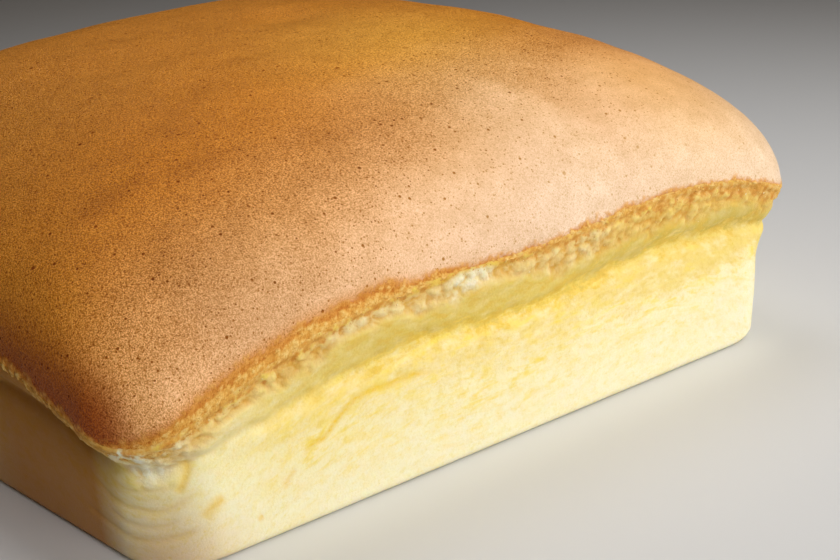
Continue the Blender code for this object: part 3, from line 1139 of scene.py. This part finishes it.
def sponge_tone(tree, place, strip, share, mottle):
    """Colour of the whole sponge, from the pressed band down to the base."""
    broad, streaks, fibre, blotches = (grain(tree, strip, *pattern)
                                       for pattern in (BROAD, STREAKS, FIBRE, BLOTCHES))
    bend = plus(tree, ramp(tree, broad, 0.2, 0.8, -0.16, 0.16),
                ramp(tree, streaks, 0.2, 0.8, -0.20, 0.20),
                ramp(tree, mottle, 0.2, 0.8, -0.12, 0.12))
    bent = times(tree, plus(tree, share, bend), BAND_SCALE)
    pressing = attribute(tree, "pressing")
    tone = mix(tree, pressing, gradient(tree, bent, LOOSE_BANDS),
               gradient(tree, bent, PRESSED_BANDS))
    marble = plus(tree, ramp(tree, streaks, 0.46, 0.64, 0.0, 0.60),
                  ramp(tree, blotches, 0.48, 0.66, 0.0, 0.60))
    marble = times(tree, marble, ramp(tree, broad, 0.35, 0.60, 0.50, 1.0))
    zone = times(tree, ramp(tree, share, 0.6, 1.1), ramp(tree, share, 3.2, 1.3, 0.20, 1.0))
    tone = mix(tree, times(tree, marble, zone), tone, MARBLE_TONE)
    yellowing = attribute(tree, "yellowing")
    under_band = times(tree, ramp(tree, bent, 0.20, 0.25), ramp(tree, bent, 0.50, 0.36))
    tone = mix(tree, times(tree, yellowing, under_band), tone, YELLOWED)
    # Painted shade on the pressed band under the overhang
    band_shade = times(tree, yellowing, ramp(tree, bent, 0.26, 0.20))
    tone = mix(tree, band_shade, tone, tinted(tree, tone, BAND_SHADE_TINT))
    pressed = times(tree, pressing, ramp(tree, bent, 0.30, 0.24))
    cleared = times(tree, ramp(tree, blotches, 0.50, 0.30, 0.0, 0.30),
                    minus(tree, 1.0, times(tree, pressed, 0.55)))
    tone = mix(tree, cleared, tone, PALE_TINT)
    tone = mix(tree, times(tree, pressed, ramp(tree, blotches, 0.50, 0.64), 0.6), tone, STAIN_TONE)
    # Painted light near the front left corner
    tone = mix(tree, soft_spot(tree, place, *PAINTED_LIGHT_SPOT), tone, PAINTED_LIGHT_TONE)
    gold = plus(tree, ramp(tree, mottle, 0.52, 0.30, 0.0, 0.55),
                ramp(tree, fibre, 0.52, 0.34, 0.0, 0.35))
    return tinted(tree, tone, mix(tree, gold, shade(1.0), GOLD_TINT))


print("crumb tone:", len(PRESSED_BANDS), "stops where pressed and", len(LOOSE_BANDS), "where loose")

# %% [markdown]
# ### The torn band's colour
# Right under the crust the sponge has torn. Orange-brown crumbs that came off the crust hang at
# the top, and below them the clumps are gold, or nearly white where they tore fresh.

# %% Torn band tone
TEAR_GOLD = (
    (0.05, colour(220, 160, 48)),
    (0.40, colour(228, 183, 76)),
    (0.85, colour(236, 201, 96)),
)
TEAR_PALE = (
    (0.05, colour(236, 206, 124)),
    (0.25, colour(245, 233, 188)),
    (0.65, colour(249, 244, 222)),
)
SCORCHED_TONES = (
    (0.30, colour(210, 142, 52)),
    (0.50, colour(226, 168, 80)),
    (0.68, colour(239, 200, 122)),
)
SCORCHED_SHARE = 0.90
TEAR_LUMPS = (0.0019, 3.0, 0.6)       # size in metres, detail and roughness
TORN_TINTS = ((0.36, (0.94, 0.88, 0.70, 1.0)), (0.56, shade(1.0)))


def torn_tone(tree, strip, below):
    """Colour of the torn band, from its scorched top to its gold or white clumps."""
    clump = attribute(tree, "clump")
    paleness = attribute(tree, "paleness")
    reach = plus(tree, below, times(tree, paleness, 3.0))
    whiteness = times(tree, paleness, ramp(tree, reach, 2.0, 3.8))
    shreds = mix(tree, whiteness, gradient(tree, clump, TEAR_GOLD),
                 gradient(tree, clump, TEAR_PALE))
    lumps = grain(tree, strip, *TEAR_LUMPS)
    depth = plus(tree, minus(tree, below, attribute(tree, "scorch_reach")),
                 ramp(tree, clump, 0.0, 1.0, -1.2, 1.2), ramp(tree, lumps, 0.25, 0.75, -1.4, 1.4))
    scorched = times(tree, ramp(tree, depth, 0.8, -1.0), SCORCHED_SHARE)
    shreds = mix(tree, scorched, shreds, gradient(tree, lumps, SCORCHED_TONES))
    return tinted(tree, shreds, gradient(tree, lumps, TORN_TINTS))


print("torn band:", len(SCORCHED_TONES), "scorched tones over", len(TEAR_GOLD), "gold and",
      len(TEAR_PALE), "pale ones")

# %% [markdown]
# ### The sponge's finish
# The tear is laid over the sponge, then the yellow creases, and last an amber painted shade on the
# left side and on the low corner. Light scatters a little way into the sponge, which is what makes
# it look soft.

# %% Crumb finish
CREASE_TONE = colour(238, 198, 48)
# Amber painted shade for the left side, which turns away from the lamps
AMBER_SHADE_TONE = colour(174, 104, 6)
# Painted shade low on the front left corner, near the base
LOW_CORNER_SHADE = ((-0.099, -0.094, -0.004), 0.030, 0.62)      # centre, radius and share
WEAVE = (0.0007, 3.0, 0.65)           # size in metres, detail and roughness


def crumb_material():
    material, tree, shader, place = start_material("sponge crumb")
    strip = attribute(tree, "rolled", "Vector")
    torn = attribute(tree, "torn")
    mottle = grain(tree, strip, *MOTTLE)
    tone = sponge_tone(tree, place, strip, attribute(tree, "neck_share"), mottle)
    tone = mix(tree, torn, tone, torn_tone(tree, strip, attribute(tree, "below_rim")))
    crease = times(tree, attribute(tree, "crease"), ramp(tree, mottle, 0.34, 0.56, 0.45, 1.0))
    tone = mix(tree, crease, tone, CREASE_TONE)
    # Painted shade at the low corner
    low_corner_shade = soft_spot(tree, place, *LOW_CORNER_SHADE)
    # Painted shade: the left side turns amber, and so does the low corner
    shade_share = maths(tree, "MAXIMUM", attribute(tree, "painted_shade"), low_corner_shade)
    tree.links.new(mix(tree, shade_share, tone, AMBER_SHADE_TONE), shader.inputs["Base Color"])
    shader.inputs["Roughness"].default_value = 0.70
    shader.inputs["Specular IOR Level"].default_value = 0.3
    scatter_light(shader, 0.45, (1.0, 0.70, 0.25), 0.003)
    height = times(tree, grain(tree, place, *WEAVE), ramp(tree, torn, 0.0, 1.0, 0.7, 1.4))
    set_bump(tree, shader, height, 0.0003, 0.7)
    return material


crumb_finish = made(crumb_material())

# %% [markdown]
# ### The loose crumbs' finish
# A loose crumb is a scrap of crust or of sponge, so each has one tone, from orange-brown to cream.

# %% Loose crumb finish
LOOSE_TONES = (
    (0.00, colour(208, 138, 50)),
    (0.35, colour(228, 176, 86)),
    (0.65, colour(238, 206, 130)),
    (1.00, colour(243, 228, 182)),
)


def loose_crumb_material():
    material, tree, shader, place = start_material("loose crumbs")
    tone = gradient(tree, attribute(tree, "tint"), LOOSE_TONES)
    tree.links.new(tone, shader.inputs["Base Color"])
    shader.inputs["Roughness"].default_value = 0.75
    scatter_light(shader, 0.3, (1.0, 0.6, 0.2), 0.002)
    set_bump(tree, shader, grain(tree, place, 0.0005, 2.0), 0.0002)
    return material


loose_finish = made(loose_crumb_material())

# %% [markdown]
# ## Relief by Geometry Nodes
# Pores, tears and ripples repeat over a surface, so node trees make them. A tree moves each point
# along its normal by textures, and the sizes are inputs with names. The result is then made a
# plain mesh, because an export drops what a live modifier stores.

# %% Geometry Nodes helpers
def start_tree(name, sizes):
    """A geometry tree with one input per named size, and the sockets that give those inputs."""
    tree = bpy.data.node_groups.new(name, "GeometryNodeTree")
    tree.is_modifier = True
    tree.interface.new_socket("Geometry", in_out="INPUT", socket_type="NodeSocketGeometry")
    for label, value in sizes.items():
        kind = "NodeSocketInt" if isinstance(value, int) else "NodeSocketFloat"
        tree.interface.new_socket(label, in_out="INPUT", socket_type=kind)
    tree.interface.new_socket("Geometry", in_out="OUTPUT", socket_type="NodeSocketGeometry")
    return tree, tree.nodes.new("NodeGroupInput").outputs


def finish_tree(tree, geometry, material):
    """Ends a tree in Realize Instances and Set Material."""
    real = add(tree, "GeometryNodeRealizeInstances", {"Geometry": geometry})
    dressed = add(tree, "GeometryNodeSetMaterial",
                  {"Geometry": real.outputs[0], "Material": material})
    add(tree, "NodeGroupOutput", {"Geometry": dressed.outputs[0]})
    print("tree", repr(tree.name), "has", len(tree.nodes), "nodes")
    return tree


def run_tree(piece, tree, sizes):
    """Runs a tree on a piece and keeps the result as the piece's plain mesh."""
    modifier = piece.modifiers.new(tree.name, "NODES")
    modifier.node_group = tree
    for item in tree.interface.items_tree:
        if item.in_out == "INPUT" and item.name in sizes:
            modifier[item.identifier] = sizes[item.name]
    bpy.context.view_layer.update()
    graph = bpy.context.evaluated_depsgraph_get()
    mesh = bpy.data.meshes.new_from_object(piece.evaluated_get(graph), depsgraph=graph,
                                           preserve_all_data_layers=True)
    piece.modifiers.remove(modifier)
    old, piece.data = piece.data, mesh
    bpy.data.meshes.remove(old)
    mesh.name = piece.name
    triangles = sum(len(face.vertices) - 2 for face in mesh.polygons)
    print(piece.name, "after", tree.name + ":", triangles, "triangles")


def named(tree, name, kind="FLOAT"):
    """What was painted on the piece under a name, inside a geometry tree."""
    return add(tree, "GeometryNodeInputNamedAttribute", {"Name": name}, data_type=kind).outputs[0]


def store(tree, geometry, name, value, domain="POINT"):
    """Paints a value on the geometry under a name."""
    node = add(tree, "GeometryNodeStoreNamedAttribute",
               {"Geometry": geometry, "Name": name, "Value": value},
               data_type="FLOAT", domain=domain)
    return node.outputs[0]


def texture(tree, place, size, detail=2.0, roughness=0.5, stretch=(1.0, 1.0, 1.0)):
    """Noise whose feature size is a socket, in metres."""
    place = vectors(tree, "MULTIPLY", "Vector", {0: place, 1: stretch})
    return add(tree, "ShaderNodeTexNoise", {
        "Vector": place, "Scale": maths(tree, "DIVIDE", 1.0, size), "Detail": detail,
        "Roughness": roughness}).outputs["Fac"]


def rounded_lumps(tree, place, size):
    """Rounded lumps about size metres across: 1 in the middle of each and 0 in the gaps."""
    cells = add(tree, "ShaderNodeTexVoronoi", {
        "Vector": place, "Scale": maths(tree, "DIVIDE", 1.0, size), "Smoothness": 0.3},
        feature="SMOOTH_F1")
    return ramp(tree, cells.outputs["Distance"], 0.80, 0.10)


def push(tree, geometry, amount):
    """Moves each point along its normal by an amount in metres."""
    normal = add(tree, "GeometryNodeInputNormal").outputs[0]
    offset = vectors(tree, "SCALE", "Vector", {0: normal, "Scale": amount})
    return add(tree, "GeometryNodeSetPosition", {"Geometry": geometry, "Offset": offset}).outputs[0]


print("relief helpers ready")

# %% [markdown]
# ### Relief of the crust
# The crust swells softly between its sunken places, has a fine grain and a few burst bubbles, and
# turns lumpy where it crumbles. Every part only lowers the surface, so the crust never grows past
# its solid.

# %% Crust relief
CRUST_SIZES = {"Swell Size": 0.030, "Swell Height": 0.0006, "Grain Size": 0.0024,
               "Grain Height": 0.00012, "Bubble Spacing": 0.0085, "Bubble Radius": 0.0008,
               "Bubble Depth": 0.00035, "Edge Lump Size": 0.0015, "Edge Lump Height": 0.0006}
BUBBLE_SHARE = 0.30                   # of the cells hold a burst bubble


def bubble_pits(tree, place, sizes):
    """Round pits of random width, in metres of depth."""
    spacing = sizes["Bubble Spacing"]
    cells = add(tree, "ShaderNodeTexVoronoi",
                {"Vector": place, "Scale": maths(tree, "DIVIDE", 1.0, spacing)})
    own = add(tree, "FunctionNodeSeparateColor", {0: cells.outputs["Color"]}).outputs
    away = times(tree, cells.outputs["Distance"], spacing)
    radius = times(tree, sizes["Bubble Radius"], ramp(tree, own[0], 0.0, 1.0, 0.5, 1.0))
    depth = minus(tree, 1.0, maths(tree, "DIVIDE", away, radius))
    there = maths(tree, "LESS_THAN", own[1], BUBBLE_SHARE)
    return times(tree, ramp(tree, depth, 0.0, 0.8), there, sizes["Bubble Depth"])


def crust_relief(material):
    tree, sizes = start_tree("crust relief", CRUST_SIZES)
    place = add(tree, "GeometryNodeInputPosition").outputs[0]
    strip = named(tree, "rolled", "FLOAT_VECTOR")
    below = named(tree, "below_rim")
    swell = ramp(tree, texture(tree, place, sizes["Swell Size"], 1.0), 0.3, 0.7, -1.0, 0.0)
    swell = times(tree, swell, sizes["Swell Height"])
    fine = minus(tree, texture(tree, place, sizes["Grain Size"], 2.0), 0.8)
    fine = times(tree, fine, sizes["Grain Height"])
    skin = minus(tree, plus(tree, swell, fine), bubble_pits(tree, place, sizes))
    skin = times(tree, skin, ramp(tree, below, -0.5, -2.5))
    lumps = texture(tree, strip, sizes["Edge Lump Size"], 3.0, 0.6)
    lumps = times(tree, ramp(tree, lumps, 0.25, 0.70, -1.0, 0.0), sizes["Edge Lump Height"])
    past_crust = plus(tree, below, named(tree, "fringe"))
    lumps = times(tree, lumps, ramp(tree, past_crust, -2.0, 0.5))
    return finish_tree(tree, push(tree, sizes["Geometry"], plus(tree, skin, lumps)), material)


crust_tree = crust_relief(crust_finish)

# %% [markdown]
# ### Relief of the crumb
# The torn band is a row of rounded clumps with hollows between them and shreds over both. Below it
# the wall has long, low ripples, and short wrinkles where the neck is creased. The tree also
# paints how torn each point is and which clump it is in, and the finish reads that.

# %% Crumb relief
CRUMB_SIZES = {"Clump Size": 0.0032, "Clump Depth": 0.0007, "Tear Waver": 2.2, "Waver Size": 0.012,
               "Bend": 0.004, "Bend Scale": 300.0, "Shred Size": 0.0014, "Shred Height": 0.00045,
               "Ripple Size": 0.009, "Ripple Height": 0.0004, "Wrinkle Size": 0.0045,
               "Wrinkle Height": 0.0004}


def torn_relief(tree, strip, below, torn, sizes):
    """Height of the tear's clumps and shreds, and how far a point is inside a clump."""
    bend = add(tree, "ShaderNodeTexNoise",
               {"Vector": strip, "Scale": sizes["Bend Scale"], "Detail": 2.0}).outputs["Color"]
    bent = vectors(tree, "MULTIPLY_ADD", "Vector", {0: bend, 1: sizes["Bend"], 2: strip})
    clump = rounded_lumps(tree, bent, sizes["Clump Size"])
    knob = rounded_lumps(tree, bent, sizes["Shred Size"])
    rough = texture(tree, strip, sizes["Shred Size"], 3.0, 0.6)
    shreds = plus(tree, times(tree, knob, 0.7), times(tree, ramp(tree, rough, 0.25, 0.72), 0.5))
    shreds = times(tree, minus(tree, shreds, 1.2), sizes["Shred Height"],
                   ramp(tree, below, 0.3, 2.5, 0.45, 1.0))
    hollow = times(tree, minus(tree, clump, 1.0), sizes["Clump Depth"],
                   ramp(tree, below, 0.6, 2.6, 0.15, 1.0))
    inside = plus(tree, times(tree, clump, 0.65), times(tree, knob, 0.35))
    return times(tree, plus(tree, hollow, shreds), torn), inside


def wall_relief(tree, strip, sizes):
    """Height of the ripples and of the wrinkles round the neck."""
    ripples = texture(tree, strip, sizes["Ripple Size"], 3.0, 0.5, (0.4, 0.4, 2.0))
    ripples = times(tree, minus(tree, ripples, 0.6), sizes["Ripple Height"])
    share = named(tree, "neck_share")
    round_neck = times(tree, ramp(tree, share, 0.3, 0.6), ramp(tree, share, 1.6, 1.0))
    wrinkles = texture(tree, strip, sizes["Wrinkle Size"], 2.0, 0.5, (0.22, 0.22, 1.8))
    wrinkles = times(tree, minus(tree, wrinkles, 0.6), sizes["Wrinkle Height"], round_neck)
    return ripples, wrinkles


def crumb_relief(material):
    tree, sizes = start_tree("crumb relief", CRUMB_SIZES)
    place = add(tree, "GeometryNodeInputPosition").outputs[0]
    strip = named(tree, "rolled", "FLOAT_VECTOR")
    below = named(tree, "below_rim")
    waver = ramp(tree, texture(tree, strip, sizes["Waver Size"], 3.0), 0.25, 0.75, -1.0, 1.0)
    reach = plus(tree, below, times(tree, waver, sizes["Tear Waver"]))
    torn = ramp(tree, maths(tree, "DIVIDE", reach, named(tree, "tear_width")), 1.15, 0.75)
    tear, inside = torn_relief(tree, strip, below, torn, sizes)
    relief = plus(tree, tear, *wall_relief(tree, strip, sizes))
    height = add(tree, "ShaderNodeSeparateXYZ", {0: place}).outputs[2]
    relief = times(tree, relief, ramp(tree, height, 0.0004, 0.003))
    geometry = store(tree, sizes["Geometry"], "torn", torn)
    geometry = store(tree, geometry, "clump", inside)
    return finish_tree(tree, push(tree, geometry, relief), material)


crumb_tree = crumb_relief(crumb_finish)

# %% [markdown]
# ### Loose crumbs
# Small crumbs cling to the tear. A tree scatters points over the torn part of the crumb, with a
# fixed seed, and puts a ball of a few faces on each. Then it makes the balls real and pushes them
# out of round. Each ball has its own tint, browner near the crust.

# %% Loose crumbs
LOOSE_SIZES = {"Density": 900000.0, "Gather Size": 0.0045, "Smallest": 0.00014, "Largest": 0.00040,
               "Sunk": 0.00022, "Knob Size": 0.0006, "Knob Height": 0.0005, "Seed": 7}
WIDTH_SEED, TURN_SEED, TINT_SEED = 3, 5, 11
FULL_TURN = (6.28, 6.28, 6.28)
BALL_SEGMENTS = 6
BALL_RINGS = 4


def random_value(tree, low, high, seed):
    """A random number for each crumb."""
    return add(tree, "FunctionNodeRandomValue", {2: low, 3: high, "Seed": seed},
               data_type="FLOAT").outputs[1]


def loose_crumbs(material):
    tree, sizes = start_tree("loose crumbs", LOOSE_SIZES)
    place = add(tree, "GeometryNodeInputPosition").outputs[0]
    strip = named(tree, "rolled", "FLOAT_VECTOR")
    below = named(tree, "below_rim")
    gathered = ramp(tree, texture(tree, strip, sizes["Gather Size"], 2.0), 0.40, 0.62)
    seen = times(tree, ramp(tree, below, -0.1, 0.3), ramp(tree, below, 5.0, 1.2, 0.10, 1.0))
    chance = times(tree, named(tree, "torn"), gathered, seen, sizes["Density"])
    sunk = push(tree, sizes["Geometry"], times(tree, sizes["Sunk"], -1.0))
    spots = add(tree, "GeometryNodeDistributePointsOnFaces", {
        "Mesh": sunk, "Density": chance, "Seed": sizes["Seed"]})
    ball = add(tree, "GeometryNodeMeshUVSphere", {
        "Segments": BALL_SEGMENTS, "Rings": BALL_RINGS, "Radius": 1.0})
    turn = add(tree, "FunctionNodeRandomValue", {1: FULL_TURN, "Seed": TURN_SEED},
               data_type="FLOAT_VECTOR")
    balls = add(tree, "GeometryNodeInstanceOnPoints", {
        "Points": spots.outputs["Points"], "Instance": ball.outputs["Mesh"],
        "Rotation": turn.outputs[0],
        "Scale": random_value(tree, sizes["Smallest"], sizes["Largest"], WIDTH_SEED)})
    lower = ramp(tree, below, 0.3, 4.0, -0.35, 0.15)
    paler = times(tree, named(tree, "paleness"), 0.35)
    tint = plus(tree, random_value(tree, -0.15, 0.85, TINT_SEED), plus(tree, lower, paler))
    real = add(tree, "GeometryNodeRealizeInstances", {
        "Geometry": store(tree, balls.outputs[0], "tint", tint, "INSTANCE")}).outputs[0]
    knobs = minus(tree, texture(tree, place, sizes["Knob Size"], 2.0), 0.6)
    knobbly = push(tree, real, times(tree, knobs, sizes["Knob Height"]))
    return finish_tree(tree, knobbly, material)


loose_tree = loose_crumbs(loose_finish)

# %% [markdown]
# ## Assembly
# The crumb is made first, because its torn band decides where loose crumbs cling. All three pieces
# stand for the one solid and ride on its body.

# %% Make the crumb
crumb = build_crumb(crumb_finish)
run_tree(crumb, crumb_tree, CRUMB_SIZES)

# %% Scatter the loose crumbs
loose = bpy.data.objects.new("torn_crumbs", crumb.data.copy())
bpy.context.scene.collection.objects.link(loose)
run_tree(loose, loose_tree, LOOSE_SIZES)
loose.data.shade_smooth()

# %% Make the crust
crust = build_crust(crust_finish)
run_tree(crust, crust_tree, CRUST_SIZES)

# %% Put the cake on its body
for piece in (crust, crumb, loose):
    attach(piece, "root")
    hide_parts(CAKE)
    print(piece.name, "stands for", CAKE)
